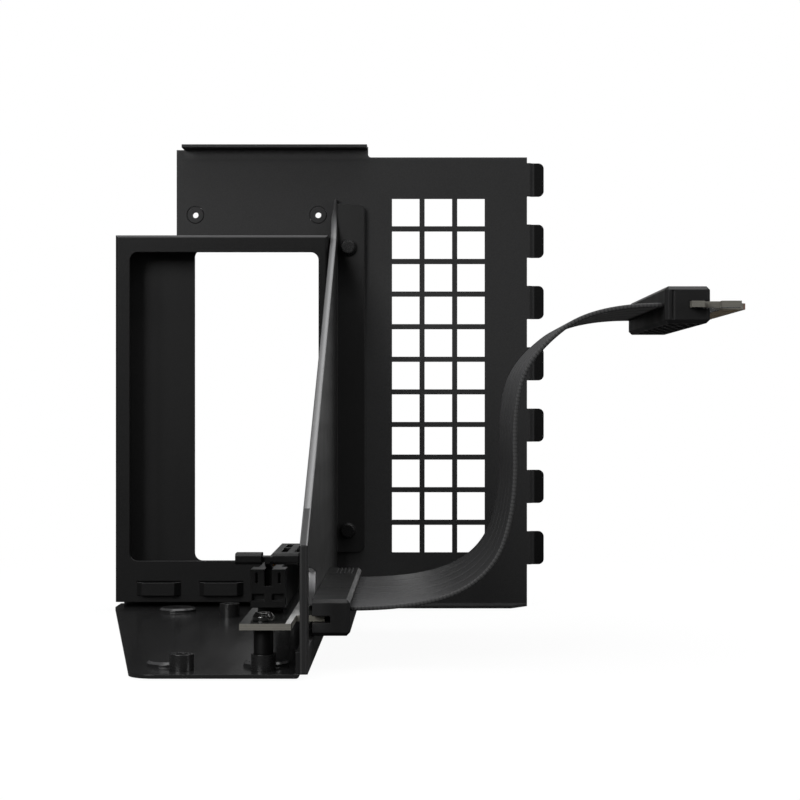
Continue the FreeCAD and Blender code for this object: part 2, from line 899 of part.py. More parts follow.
def socket_body():
    """Moulded card socket: long body, end tower, keyed card slot, contact recesses, latch pocket."""
    body = new_body("socket_body")
    half = d.socket_width / 2
    tower_half = d.tower_width / 2
    long_block = box(d.socket_x - half, d.socket_x + half, tower_back, socket_back)
    add(body, "XY_Plane", [long_block], board_top, socket_top)
    tower = box(d.socket_x - tower_half, d.socket_x + tower_half, tower_front, tower_back)
    add(body, "XY_Plane", [tower], board_top + d.tower_lift, socket_top)
    half_gap = d.card_gap / 2
    recess = half_gap + d.contact_depth
    for run_front, run_back in slot_runs():
        run = box(d.socket_x - recess, d.socket_x + recess, run_front, run_back)
        cut(body, "XY_Plane", [run], slot_floor, socket_top - d.contact_drop)
        mouth = box(d.socket_x - half_gap, d.socket_x + half_gap, run_front, run_back)
        cut(body, "XY_Plane", [mouth], socket_top - d.contact_drop, socket_top)
    gap = d.latch_stem / 2 + d.latch_clearance
    inside = box(d.socket_x - gap, d.socket_x + gap, tower_front + d.tower_wall, tower_back - d.tower_wall)
    cut(body, "XY_Plane", [inside], board_top + d.tower_lift + d.latch_floor, socket_top)
    way_out = box(d.socket_x - gap, d.socket_x + gap, tower_front, tower_front + d.tower_wall)
    cut(body, "XY_Plane", [way_out], socket_top - d.tower_slot_depth, socket_top)
    bore = [disc(pivot_y, pivot_z, d.latch_pin_radius + d.latch_pin_play)]
    pin_half = d.latch_pin_length / 2 + d.latch_clearance
    cut(body, "YZ_Plane", bore, d.socket_x - pin_half, d.socket_x + pin_half)
    slit_top = socket_top - d.slit_drop
    port_low = board_top + d.port_lift
    recesses = []
    for side in (-1, 1):
        middle = d.socket_x + side * d.slit_out
        half_slit = d.slit_width / 2
        recesses.append(box(middle - half_slit, middle + half_slit, slit_top - d.slit_height, slit_top))
        middle = d.socket_x + side * (d.port_in + d.port_width / 2)
        half_port = d.port_width / 2
        recesses.append(box(middle - half_port, middle + half_port, port_low, port_low + d.port_height))
    cut(body, "XZ_Plane", recesses, tower_front, tower_front + d.tower_wall)
    rims = edges_along(body, "Y", x=d.socket_x - half, z=socket_top)
    rims += edges_along(body, "Y", x=d.socket_x + half, z=socket_top)
    dress(body, "Chamfer", rims, d.socket_bevel)
    return body


def socket_contacts():
    """Gold contact combs on both walls of the two runs of the card slot."""
    body = new_body("socket_contacts")
    half_gap = d.card_gap / 2
    rail_low = slot_floor + d.contact_play
    spring_top = socket_top - d.contact_drop - d.contact_gap
    counts = (LONG_CONTACTS, SHORT_CONTACTS)
    for (run_front, run_back), count in zip(slot_runs(), counts):
        for side in (-1, 1):
            outer = d.socket_x + side * (half_gap + d.contact_depth - d.contact_play)
            inner = d.socket_x + side * (half_gap + d.contact_gap)
            low, high = (outer, inner) if side < 0 else (inner, outer)
            first = run_front + d.contact_width
            row_end = first + (count - 1) * d.contact_pitch + d.contact_width
            rail = box(low, high, first, row_end)
            add(body, "XY_Plane", [rail], rail_low, rail_low + d.contact_rail)
            blade = box(low, high, first, first + d.contact_width)
            blade = add(body, "XY_Plane", [blade], rail_low, spring_top)
            repeat(body, [blade], "Y", d.contact_pitch, count)
    return body


def card_latch():
    """Pivoting latch at the socket's end: a hooked stem on two trunnions, with two thumb wings."""
    body = new_body("card_latch")
    half = d.latch_stem / 2
    wing_low = socket_top + d.wing_above
    wing_top = wing_low + d.wing_thickness
    wing_back = tower_front + d.wing_back
    wing_front = wing_back - d.wing_reach
    saddle_top = wing_top - d.saddle_drop
    reach = d.latch_depth / 2
    stem = [
        (pivot_y - reach, pivot_z - d.latch_heel),
        (pivot_y + reach, pivot_z - d.latch_heel),
        (pivot_y + reach, socket_top),
        (wing_back, saddle_top),
        (wing_front + d.saddle_front, saddle_top),
        (wing_front + d.saddle_front, wing_low),
        (pivot_y - reach, socket_top),
    ]
    add(body, "YZ_Plane", [stem], d.socket_x - half, d.socket_x + half)
    bevel = d.wing_bevel
    blade = [
        (wing_front, wing_low + bevel),
        (wing_front + bevel, wing_low),
        (wing_back - bevel, wing_low),
        (wing_back, wing_low + bevel),
        (wing_back, wing_top - bevel),
        (wing_back - bevel, wing_top),
        (wing_front + bevel, wing_top),
        (wing_front, wing_top - bevel),
    ]
    span = d.wing_span / 2
    for side in (-1, 1):
        tip = d.socket_x + side * span
        root = d.socket_x + side * d.wing_gap / 2
        low, high = (tip, root) if side < 0 else (root, tip)
        add(body, "YZ_Plane", [blade], low, high)
    saddle = [
        (wing_front + d.saddle_front, wing_low + bevel),
        (wing_back, wing_low + bevel),
        (wing_back, saddle_top),
        (wing_front + d.saddle_front, saddle_top),
    ]
    root = d.wing_gap / 2 + d.wing_root
    add(body, "YZ_Plane", [saddle], d.socket_x - root, d.socket_x + root)
    pin = [disc(pivot_y, pivot_z, d.latch_pin_radius)]
    pin_half = d.latch_pin_length / 2
    add(body, "YZ_Plane", pin, d.socket_x - pin_half, d.socket_x + pin_half)
    return body


def cable_cover():
    """Overmoulded cover where the ribbon meets the riser board."""
    body = new_body("cable_cover")
    far = cover_front + d.cover_length
    block = box(cover_left, d.cover_right, cover_front, far)
    add(body, "XY_Plane", [block], d.cover_low, cover_top)
    rims = edges_along(body, "Y", x=d.cover_right) + edges_along(body, "Z", x=d.cover_right)
    dress(body, "Chamfer", rims + edges_along(body, "X"), d.cover_chamfer)
    play = d.board_play
    wing_near = front + d.wing_front
    slot = box(
        cover_left,
        d.socket_x + d.board_wing + d.cover_slot_extra,
        cover_front,
        wing_near + d.wing_length + play,
    )
    cut(body, "XY_Plane", [slot], board_low - play, board_top + play)
    groove_left = cover_left + d.cover_groove_left
    groove_near = cover_front + d.cover_groove_back
    groove_right = groove_left + d.cover_groove_length
    groove = box(groove_left, groove_right, groove_near, groove_near + d.cover_groove)
    cut(body, "XY_Plane", [groove], cover_top - d.cover_groove_depth, cover_top)
    near = cover_front + d.dimple_back
    dimples = []
    for place in range(DIMPLE_COUNT):
        left = cover_left + d.dimple_left + place * d.dimple_pitch
        dimples.append(box(left, left + d.dimple_size, near, near + d.dimple_size))
    cut(body, "XY_Plane", dimples, cover_top - d.dimple_depth, cover_top)
    gaps = []
    for place in range(RIB_GAPS):
        left = cover_left + d.cover_rib_left + place * d.cover_rib_pitch
        gaps.append(box(left, left + d.cover_rib_gap, groove_near + d.cover_rib_back, far))
    cut(body, "XY_Plane", gaps, cover_top - d.cover_groove_depth, cover_top)
    return body


def plug_cover():
    """Overmoulded plug body with a bevelled outline, a step at its cable side and a grip recess below."""
    body = new_body("plug_cover")
    right = plug_left + d.plug_width
    far = plug_front + d.plug_length
    plug_top = plug_low + d.plug_height
    block = box(plug_left, right, plug_front, far)
    add(body, "XY_Plane", [block], plug_low, plug_top)
    rims = edges_along(body, "Y") + edges_along(body, "X") + edges_along(body, "Z")
    dress(body, "Chamfer", rims, d.cover_chamfer)
    inset = d.plug_bevel_inset
    seam_left = plug_left + d.plug_seam
    seam = box(seam_left, seam_left + d.plug_seam_width, plug_low + inset, plug_top - inset)
    cut(body, "XZ_Plane", [seam], plug_front, plug_front + d.plug_seam_depth)
    play = d.board_play
    deep = right - d.plug_board_depth - play
    slot = box(deep, right, plug_front, far - d.plug_board_end + play)
    cut(body, "XY_Plane", [slot], tongue_low - play, tongue_low + d.board_thickness + play)
    grip = box(
        plug_left + d.grip_inset,
        right - d.grip_inset,
        plug_front + d.grip_margin,
        far - d.grip_margin,
    )
    cut(body, "XY_Plane", [grip], plug_low, plug_low + d.grip_depth)
    return body


def plug_board():
    """Plug circuit board: an ear and a retention hook at its near end, then the keyed edge tongue."""
    body = new_body("plug_board")
    right = plug_left + d.plug_width
    deep = right - d.plug_board_depth
    near = plug_front - d.ear_out
    far = plug_front + d.plug_length - d.plug_board_end
    tip = right + d.tongue_out
    root = right + d.tongue_root
    tongue_near = near + d.tongue_back
    key_near = tongue_near + d.tongue_key
    bevel = d.tongue_bevel
    outline = [
        (deep, near),
        (right - d.ear_left, near),
        (right - d.ear_left, near + d.ear_dip),
        (right + d.hook_left, near + d.ear_dip),
        (right + d.hook_left, near),
        (right + d.hook_right, near),
        (right + d.hook_right, near + d.hook_back),
        (root, near + d.hook_back),
        (root, tongue_near),
        (tip - bevel, tongue_near),
        (tip, tongue_near + bevel),
        (tip, key_near),
        (root, key_near),
        (root, key_near + d.key_length),
        (tip, key_near + d.key_length),
        (tip, far - bevel),
        (tip - bevel, far),
        (deep, far),
    ]
    add(body, "XY_Plane", [outline], tongue_low, tongue_low + d.board_thickness)
    return body


def rounded_route():
    """The route as straight runs joined by tangent arcs: a list of edges and their radii."""
    corners = [FreeCAD.Vector(x, 0, z) for x, z in ROUTE]
    runs = [end - start for start, end in zip(corners, corners[1:])]
    edges, radii, at = [], [], corners[0]
    for place in range(1, len(corners) - 1):
        before, after = runs[place - 1], runs[place]
        turn_angle = before.getAngle(after)
        reach = RUN_SHARE * min(before.Length, after.Length)
        start = corners[place] - FreeCAD.Vector(before).normalize() * reach
        end = corners[place] + FreeCAD.Vector(after).normalize() * reach
        radius = reach / math.tan(turn_angle / 2)
        inward = (start + end) / 2 - corners[place]
        bulge = radius / math.cos(turn_angle / 2) - radius
        middle = corners[place] + inward.normalize() * bulge
        edges.append(Part.LineSegment(at, start).toShape())
        edges.append(Part.Arc(start, middle, end).toShape())
        radii.append(radius)
        at = end
    edges.append(Part.LineSegment(at, corners[-1]).toShape())
    return edges, radii


def ribbon_strips():
    """Flat cable strips side by side, each the route's line thickened and carried across its width."""
    edges, radii = rounded_route()
    print("ribbon radii", [round(radius, 1) for radius in radii])
    path = Part.Wire(edges)
    half = SIZES["ribbon_thickness"] / 2
    sides = []
    for sign in (-1, 1):
        side = []
        for edge in edges:
            side.append(offset_edge(edge, sign * half))
        sides.append(side)
    below, above = sides
    caps = []
    for end, last in ((0, 0), (-1, 1)):
        caps.append(Part.LineSegment(below[end].Vertexes[-last].Point, above[end].Vertexes[-last].Point))
    outline = Part.Wire(Part.__sortEdges__(below + above + [cap.toShape() for cap in caps]))
    face = Part.Face(outline)
    strips = []
    for strip in range(STRIP_COUNT):
        near = number(ribbon_front) + strip * (SIZES["strip_width"] + SIZES["strip_gap"])
        solid = face.copy()
        solid.translate(FreeCAD.Vector(0, near, 0))
        solid = solid.extrude(FreeCAD.Vector(0, SIZES["strip_width"], 0))
        expected = path.Length * SIZES["ribbon_thickness"] * SIZES["strip_width"]
        if abs(solid.Volume - expected) > 0.01 * expected:
            raise RuntimeError("a ribbon strip has the wrong volume")
        feature = doc.addObject("Part::Feature", f"ribbon_strip_{strip + 1}")
        feature.Label = f"ribbon_strip_{strip + 1}"
        feature.Shape = solid
        feature.Placement = FreeCAD.Placement()
        strips.append(feature)
    print("ribbon length", round(path.Length, 1))
    return strips


def offset_edge(edge, away):
    """A line or arc of the route moved sideways in the route's plane."""
    first, last = edge.FirstParameter, edge.LastParameter
    points = []
    for share in (0, 0.5, 1):
        at = first + share * (last - first)
        tangent = edge.tangentAt(at)
        normal = FreeCAD.Vector(-tangent.z, 0, tangent.x)
        points.append(edge.valueAt(at) + normal * away)
    if edge.Curve.TypeId == "Part::GeomLine":
        return Part.LineSegment(points[0], points[2]).toShape()
    return Part.Arc(*points).toShape()


def build():
    pieces = [
        rear_plate(),
        clinch_nuts(),
        bracket_frame(),
        base_tray(),
        tray_standoffs(),
        board_spacers(),
        board_screws(),
        side_plate(),
        side_plate_screws(),
        riser_board(),
        socket_body(),
        socket_contacts(),
        card_latch(),
        cable_cover(),
        plug_cover(),
        plug_board(),
    ]
    return pieces + ribbon_strips()


def export(pieces):
    """Refuse a failed feature or a bad solid, then write one file for each sub-part."""
    doc.recompute()
    for thing in doc.Objects:
        if {"Invalid", "Error"} & set(thing.State):
            raise RuntimeError(f"{thing.Name} of the document failed: {thing.State}")
    for piece in pieces:
        if piece.Shape.isNull() or not piece.Shape.isValid() or not piece.Shape.Solids:
            raise RuntimeError(f"{piece.Label} has no good solid")
    os.makedirs("parts", exist_ok=True)
    for piece in pieces:
        piece.Shape.exportStep(f"parts/{piece.Label}.step")


export(build())
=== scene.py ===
"""Looks of a vertical graphics card mount: finishes, ribbon, gold pads, solder tails and a studio."""

import math

import bpy
import numpy as np
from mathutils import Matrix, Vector


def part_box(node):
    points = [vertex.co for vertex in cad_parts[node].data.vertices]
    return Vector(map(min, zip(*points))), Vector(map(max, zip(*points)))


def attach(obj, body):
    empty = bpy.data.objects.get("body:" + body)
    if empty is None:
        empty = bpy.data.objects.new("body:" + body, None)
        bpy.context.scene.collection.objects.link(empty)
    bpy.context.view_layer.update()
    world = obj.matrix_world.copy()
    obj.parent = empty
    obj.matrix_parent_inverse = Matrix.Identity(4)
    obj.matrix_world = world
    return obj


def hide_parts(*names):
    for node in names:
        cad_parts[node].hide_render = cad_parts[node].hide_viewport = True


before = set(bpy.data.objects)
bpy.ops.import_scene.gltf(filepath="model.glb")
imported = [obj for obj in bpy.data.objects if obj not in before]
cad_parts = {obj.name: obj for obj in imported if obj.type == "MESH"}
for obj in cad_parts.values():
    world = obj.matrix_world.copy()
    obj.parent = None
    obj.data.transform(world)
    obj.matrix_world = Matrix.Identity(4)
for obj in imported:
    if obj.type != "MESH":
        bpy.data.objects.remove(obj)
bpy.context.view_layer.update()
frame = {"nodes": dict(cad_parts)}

bl_info = {
    "name": "Vertical card mount",
    "version": (1, 0, 0),
    "blender": (4, 5, 0),
    "location": "View3D > Sidebar > Card mount",
    "description": "Finishes, ribbon, pads and studio of a vertical graphics card mount",
    "category": "Object",
}

BODY = "mount"
STRIPS = [f"ribbon_strip_{number}" for number in range(1, 6)]
DARK_HARDWARE = ["tray_standoffs", "side_plate_screws"]

# Lengths are in metres where no other unit is named.
# Ribbon: corners of its route, X and Z, from the cable cover to the plug, how the route is smoothed,
# and the thickness of a strip
ROUTE = [
    (0.0113, 0.0150),
    (0.0296, 0.0150),
    (0.0476, 0.0234),
    (0.0536, 0.0416),
    (0.0529, 0.0671),
    (0.0576, 0.0801),
    (0.0733, 0.0923),
    (0.0912, 0.0923),
]
ROUTE_STEPS = 16
ROUTE_ORDER = 3
STRIP_THICK = 0.00115
POINTS_PER_WIRE = 6
MM_PER_M = 1000

# Ribbon's jacket: distance from a strip's middle, in shares of its width, at which its cut edge and its
# rough rim begin, the share of each millimetre that lies between two ticks, and where the painted light
# toward both ends of the jacket fades, in millimetres from the cover
CUT_EDGE = 0.488
ROUGH_RIM = (0.44, 0.47)
TICK_GAP = 0.62
LIT_FIRST = (10, 28)
LIT_LAST = (66, 90)

# Gold pads: where the first row starts and ends and the second one starts, from the board's near end,
# and what stays bare at the far end and at the rim
PAD_FIRST = 0.0143
PAD_KEY = 0.0684
PAD_BACK = 0.0715
PAD_LAST = 0.0005
PAD_RIM = 0.0006

# Solder tails: bare ends of the socket, each row's distance from its middle and shift in pitches, and
# a tail's profile in shares of its radius and height
TAIL_FIRST = 0.0095
TAIL_LAST = 0.001
TAIL_ROWS = ((-0.00275, 0), (-0.001, 0.5), (0.001, 0), (0.00275, 0.5))
TAIL_RADII = (0.001, 0.45, 0.55, 1.0, 0.001)
TAIL_HEIGHTS = (-1.0, -1.0, -0.5, 0, 0)
TAIL_SIDES = 8

# Bars of the grip that are cut to less than this share of their run are left out
GRIP_SHORTEST = 0.02

# Coats: grains per metre, the upward part of a normal over which a painted highlight on upward faces
# sets in, half the X over which that painted highlight changes at the split, and rays that soften an
# edge
PEEL = 2400
UPWARD = (0.05, 0.65)
SPLIT_FADE = 0.0003
EDGE_RAYS = 6

# Rear plate: the tongues' reach from its right end, the painted shade behind the card window (X and top
# Z), the painted light beside the side plate (X where it comes and goes, Z where it fades) and the
# painted light under the lip
TONGUE_REACH = 0.0034
TONGUE_FADE = 0.0004
WINDOW_SHADE_LEFT = (-0.0615, -0.0575)
WINDOW_SHADE_RIGHT = -0.005
WINDOW_SHADE_TOP = 0.119
FILL_LIGHT_LEFT = (0.004, 0.006)
FILL_LIGHT_RIGHT = (0.0195, 0.05)
FILL_LIGHT_TOP = (0.115, 0.08)
LIP_RISE = (0.1478, 0.1512)
LIP_UNDERSIDE = 0.1509
LIP_LEFT = (-0.0495, -0.0465)

# Side plate: its sheet, the part of a normal along X below which a face is cut, the painted highlights
# on the rims of its nose, the painted light in the pass-through and the painted shadow on the flange
SHEET = 0.002
CUT_FACING = 0.3
NOSE_RIM = (0.0004, 0.0008)
NOSE_BACK = -0.070
PASS_BACK = 0.040
PASS_TOP = 0.026
PASS_PAINTED_LIGHT = (0.0175, 0.024)
FLANGE_START = 0.0012
FLANGE_PAINTED_SHADOW = (0.100, 0.112)

# Tray: the upward part of a normal over which the slopes of its embosses start and end
SLOPE_START = (0.05, 0.3)
SLOPE_END = (0.9, 0.98)

# Boards: the part of a normal above which a surface is a face, or the end where copper shows, and a
# trace's soft edge. The riser's painted reflection, a bright strip, lies between two X and in front of a
# Y, and past it the face turns matt
FACE_FACING = 0.5
END_FACING = 0.7
TRACE_EDGE = (0.45, 0.55)
BOARD_GLOSS = 0.5
REFLECTION_X = (-0.004, -0.0005)
REFLECTION_BACK = -0.01
STRIP_MATT = (-0.0011, -0.0009)

# Studio: a camera at the photo's angle, with lens and sensor in millimetres, soft boxes (name, place,
# size, watts), a floor and a room
CAMERA_PLACE = (0.0293, -0.557, 0.0676)
CAMERA_SHIFT = (-0.02625, 0.0025)
LENS = 86.985
SENSOR = 36
NEAREST = 0.01
LAMPS = (
    ("top_box", (0.12, 0.02, 0.75), (0.7, 0.9), 6.5),
    ("key_box", (-0.48, -0.78, 0.42), (0.5, 0.4), 7.3),
    ("right_box", (0.80, -0.40, 0.30), (0.2, 0.6), 1.2),
)
LAMP_AIM = (0.0, 0.0, 0.07)
FLOOR_REACH = 4.0
FLOOR_LEVEL = -0.0004
FLOOR_POINTS = 9
FLOOR_FADE = (0.1, 0.3)
FLOOR_GLOW = (0.95, 1.0)
FLOOR_PALE = (0.8, 0.8, 0.8, 1)
FLOOR_DIM = (0.045, 0.045, 0.045, 1)
AMBIENT = (0.58, 0.58, 0.58, 1)
WHITE = (1, 1, 1, 1)
ROOM_SPLIT = (-0.10, -0.03)
ROOM_WHITE = 0.9
ROOM_DIM = 0.03

# Corners of a box as signs along X, Y and Z, and its faces
BOX_SIGNS = np.stack(np.meshgrid((-1, 1), (-1, 1), (-1, 1), indexing="ij"), axis=-1).reshape(-1, 3)
BOX_FACES = np.array([
    (0, 1, 3, 2), (4, 6, 7, 5), (0, 4, 5, 1), (2, 3, 7, 6), (0, 2, 6, 4), (1, 5, 7, 3)
])


def length(name, description, default):
    """A size in metres that a user may change."""
    return bpy.props.FloatProperty(
        name=name, description=description, default=default, min=0, unit="LENGTH", precision=5
    )


def tint(name, description, default):
    """A linear colour that a user may change."""
    return bpy.props.FloatVectorProperty(
        name=name, description=description, default=default, subtype="COLOR", min=0, max=1, size=3
    )


class MountSizes(bpy.types.PropertyGroup):
    """Sizes of the pieces that are made here."""

    wire_pitch: length("Wire pitch", "Distance between two wires of the ribbon", 0.0009)
    wire_dip: length("Wire dip", "Depth of the valley between two wires", 0.00009)
    strip_edge: length("Strip edge", "Rounding of a strip's long edges", 0.0003)
    pad_pitch: length("Pad pitch", "Distance between two gold pads of the plug", 0.001)
    pad_width: length("Pad width", "Width of a gold pad", 0.0007)
    pad_length: length("Pad length", "Length of a gold pad", 0.0056)
    pad_height: length("Pad height", "How far a gold pad stands proud of its board", 0.00004)
    tail_pitch: length("Tail pitch", "Distance between two solder tails", 0.002)
    tail_radius: length("Tail radius", "Radius of a solder tail at the board", 0.00042)
    tail_height: length("Tail height", "How far a solder tail stands below the board", 0.0011)
    grip_inset: length("Grip inset", "Recess under the plug, from its sides", 0.0014)
    grip_margin: length("Grip margin", "Recess under the plug, from its ends", 0.003)
    grip_run: length("Grip run", "Distance along the plug over which a bar crosses it", 0.036)
    grip_pitch: length("Grip pitch", "Distance between two bars of the grip", 0.011)
    grip_width: length("Grip width", "Width of a bar of the grip", 0.0005)
    grip_low: length("Grip low", "Gap between the plug's underside and the bars", 0.00005)
    grip_height: length("Grip height", "Height of a bar of the grip", 0.0006)


class MountColours(bpy.types.PropertyGroup):
    """Colours of the finishes."""

    coat: tint("Coat", "Powder coat of the rear plate", (0.0200, 0.0200, 0.0203))
    side: tint("Side", "Powder coat of the side plate", (0.0140, 0.0140, 0.0142))
    frame: tint("Frame", "Powder coat of the bracket frame", (0.0072, 0.0072, 0.0073))
    tray: tint("Tray", "Smooth coat of the tray", (0.0110, 0.0110, 0.0112))
    oxide: tint("Oxide", "Black oxide of posts and screws", (0.0070, 0.0070, 0.0071))
    zinc: tint("Zinc", "Plating of the board screws", (0.15, 0.15, 0.147))
    plastic: tint("Plastic", "Moulded covers of the ribbon", (0.0105, 0.0105, 0.0107))
    socket: tint("Socket", "Card socket and latch", (0.0020, 0.0020, 0.0020))
    mask: tint("Mask", "Solder mask of the boards", (0.0120, 0.0126, 0.0120))
    laminate: tint("Laminate", "Cut edge of the boards", (0.115, 0.110, 0.094))
    copper: tint("Copper", "Copper in one end of the boards", (0.17, 0.095, 0.07))
    # Painted reflection: a bright strip on the riser board's glossy face.
    strip_reflection: tint("Reflection", "Reflecting strip of the riser board", (0.62, 0.62, 0.61))
    gold: tint("Gold", "Plating of contacts and pads", (0.80, 0.56, 0.24))
    solder: tint("Solder", "Solder tails under the riser board", (0.52, 0.52, 0.53))
    jacket: tint("Jacket", "Jacket of the ribbon", (0.0350, 0.0350, 0.0358))


class Nodes:
    """A node tree, with short calls for what the finishes and the stage share."""

    def __init__(self, tree):
        self.tree = tree

    def node(self, kind, links=(), **values):
        """A new node. Its sockets are linked to other nodes or given a number or a colour."""
        made = self.tree.nodes.new(kind)
        for name, value in values.items():
            setattr(made, name, value)
        for socket, source in dict(links).items():
            self.feed(made.inputs[socket], source)
        return made

    def feed(self, socket, source):
        if isinstance(source, bpy.types.NodeSocket):
            self.tree.links.new(source, socket)
        else:
            socket.default_value = source

    def parts(self, vector):
        """The X, Y and Z of a vector."""
        return self.node("ShaderNodeSeparateXYZ", {"Vector": vector}).outputs

    def ramp(self, value, low, high, start=0.3, end=0.7, **values):
        """Map a value from start to end onto low to high."""
        links = {"Value": value, "From Min": start, "From Max": end, "To Min": low, "To Max": high}
        return self.node("ShaderNodeMapRange", links, **values).outputs["Result"]

    def math(self, operation, first, second=0):
        return self.node("ShaderNodeMath", {0: first, 1: second}, operation=operation).outputs[0]

    def above(self, value, limit):
        return self.math("GREATER_THAN", value, limit)

    def below(self, value, limit):
        return self.math("LESS_THAN", value, limit)

    def product(self, first, *others):
        """Shares multiplied, which leaves the places where all of them hold."""
        for other in others:
            first = self.math("MULTIPLY", first, other)
        return first

    def blend(self, share, first, second):
        """One shader or another."""
        return self.node("ShaderNodeMixShader", {0: share, 1: first, 2: second}).outputs[0]


class Finish(Nodes):
    """A material's nodes, from its patterns to its shader."""

    def __init__(self, name):
        self.material = bpy.data.materials.new(name)
        self.material.use_nodes = True
        super().__init__(self.material.node_tree)
        self.shader = self.tree.nodes["Principled BSDF"]
        self.place = self.node("ShaderNodeTexCoord").outputs

    def set(self, **values):
        for name, value in values.items():
            self.feed(self.shader.inputs[name.replace("_", " ")], value)

    def facing(self, kind="Normal"):
        """The X, Y and Z of the surface's normal."""
        return self.parts(self.node("ShaderNodeNewGeometry").outputs[kind])

    def stretched(self, scale, where="Object"):
        """Coordinates stretched by a scale along each axis."""
        links = {"Vector": self.place[where], "Scale": scale}
        return self.node("ShaderNodeMapping", links).outputs["Vector"]

    def grain(self, scale, detail=2.0, where=None):
        """Noise of about one over scale metres."""
        links = {"Vector": where or self.place["Object"], "Scale": scale, "Detail": detail}
        return self.node("ShaderNodeTexNoise", links).outputs["Fac"]

    def waves(self, axis, scale, distortion, detail):
        """Bands along an axis."""
        links = {"Vector": self.place["Object"], "Scale": scale}
        links.update({"Distortion": distortion, "Detail Scale": detail})
        return self.node("ShaderNodeTexWave", links, bands_direction=axis).outputs["Fac"]

    def mix(self, share, first, second):
        """A colour between two, by a share that varies over the surface."""
        links = {0: share, 6: first, 7: second}
        return self.node("ShaderNodeMix", links, data_type="RGBA").outputs[2]

    def shade(self, colour, share, darkest, lightest):
        """A colour times a number between two limits, by a share that varies over the surface."""
        low = [channel * darkest for channel in colour] + [1]
        high = [channel * lightest for channel in colour] + [1]
        return self.mix(share, low, high)

    def bump(self, height, distance, strength, normal=None):
        links = {"Height": height, "Distance": distance, "Strength": strength}
        if normal:
            links["Normal"] = normal
        return self.node("ShaderNodeBump", links).outputs["Normal"]

    def soft_edges(self, radius):
        """Normals that round off sharp edges by a radius."""
        return self.node("ShaderNodeBevel", {"Radius": radius}, samples=EDGE_RAYS).outputs["Normal"]


class Coat(Finish):
    """Fine powder coat: near black, with an orange-peel bump, uneven gloss and soft edges. On edges that
    face upward it has a painted highlight, so many times lighter left and right of the split X."""

    def __init__(self, name, colour, top_highlight, split=0.0):
        super().__init__(name)
        self.colour = colour
        self.peel = self.grain(PEEL, 3)
        self.x, self.y, self.z = self.parts(self.place["Object"])
        self.sideways, _, upright = self.facing()
        self.tone = self.shade(colour, self.peel, 0.7, 1.3)
        right = self.ramp(self.x, 0, 1, split - SPLIT_FADE, split + SPLIT_FADE)
        # Painted highlight: parts that face upward are made lighter, as if lit from above.
        self.lay(self.ramp(upright, 0, 1, *UPWARD), right, *top_highlight)

    def lay(self, where, share, darkest, lightest):
        """Lay another shade of the coat's colour over a part of it."""
        self.tone = self.mix(where, self.tone, self.shade(self.colour, share, darkest, lightest))

    def done(self, gloss, soft):
        """The material, with a gloss and with edges softened by a radius."""
        self.set(
            Base_Color=self.tone,
            Roughness=self.ramp(self.grain(45), 0.40, 0.48),
            Normal=self.bump(self.peel, 0.00006, 0.3, self.soft_edges(soft)),
            Specular_IOR_Level=gloss,
        )
        return self.material


def plate_finish(colour):
    """Coat of the rear plate: painted shade behind the card window, darker on the tongues at its right
    end, and painted light beside the side plate and under the lip, which lightens the shadows that fall
    there."""
    # Upward faces of the rear plate get a painted highlight one and a half times lighter.
    made = Coat("plate_coat", colour, (1.5, 1.5))
    # Painted shade behind the card window: the coat there is about half as light.
    window_shade = made.product(
        made.ramp(made.x, 0, 1, *WINDOW_SHADE_LEFT),
        made.below(made.x, WINDOW_SHADE_RIGHT),
        made.below(made.z, WINDOW_SHADE_TOP),
    )
    made.lay(window_shade, made.peel, 0.28, 0.56)
    # Painted light beside the side plate: lighter where the side plate's shadow falls.
    beside = made.product(
        made.ramp(made.x, 0, 1, *FILL_LIGHT_LEFT),
        made.ramp(made.x, 1, 0, *FILL_LIGHT_RIGHT),
        made.ramp(made.z, 0, 1, *FILL_LIGHT_TOP),
    )
    made.lay(beside, made.peel, 1.3, 2.4)
    # Painted light under the lip: lighter where the lip's shadow falls.
    under = made.product(
        made.ramp(made.z, 0, 1, *LIP_RISE),
        made.below(made.z, LIP_UNDERSIDE),
        made.ramp(made.x, 0, 1, *LIP_LEFT),
    )
    made.lay(under, made.peel, 3.6, 6.6)
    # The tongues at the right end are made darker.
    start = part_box("rear_plate")[1].x - TONGUE_REACH
    made.lay(made.ramp(made.x, 0, 1, start, start + TONGUE_FADE), made.peel, 0.08, 0.18)
    return made.done(gloss=0.12, soft=0.0003)


def side_finish(colour):
    """Coat of the side plate. The sheet's cut face has painted highlights on its rims at the nose, and
    painted light in the pass-through, brightest at the top. The upper flange has a painted shadow,
    darker toward its top."""
    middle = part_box("side_plate")[0].x + SHEET / 2
    # Upward faces get a painted highlight, six times lighter left of the sheet's middle and twelve times
    # right of it.
    made = Coat("side_coat", colour, (6.2, 12.0), middle)
    cut = made.below(made.math("ABSOLUTE", made.sideways), CUT_FACING)
    off = made.math("ABSOLUTE", made.math("SUBTRACT", made.x, middle))
    # Painted highlights: the nose's cut face is lighter at its two rims and darker in its middle.
    nose = made.product(cut, made.below(made.y, NOSE_BACK))
    made.lay(nose, made.ramp(off, 0, 1, *NOSE_RIM), 0.7, 2.4)
    # Painted light on the cut face in the pass-through, up to fifty times lighter toward its top.
    passage = made.product(
        cut,
        made.above(made.y, NOSE_BACK),
        made.below(made.y, PASS_BACK),
        made.below(made.z, PASS_TOP),
    )
    made.lay(passage, made.ramp(made.z, 0, 1, *PASS_PAINTED_LIGHT), 4.0, 50.0)
    # Painted shadow: the flange's front darkens toward its top.
    flange = made.product(cut, made.above(made.x, middle + FLANGE_START))
    made.lay(flange, made.ramp(made.z, 0, 1, *FLANGE_PAINTED_SHADOW), 1.0, 0.22)
    return made.done(gloss=0.3, soft=0.0006)


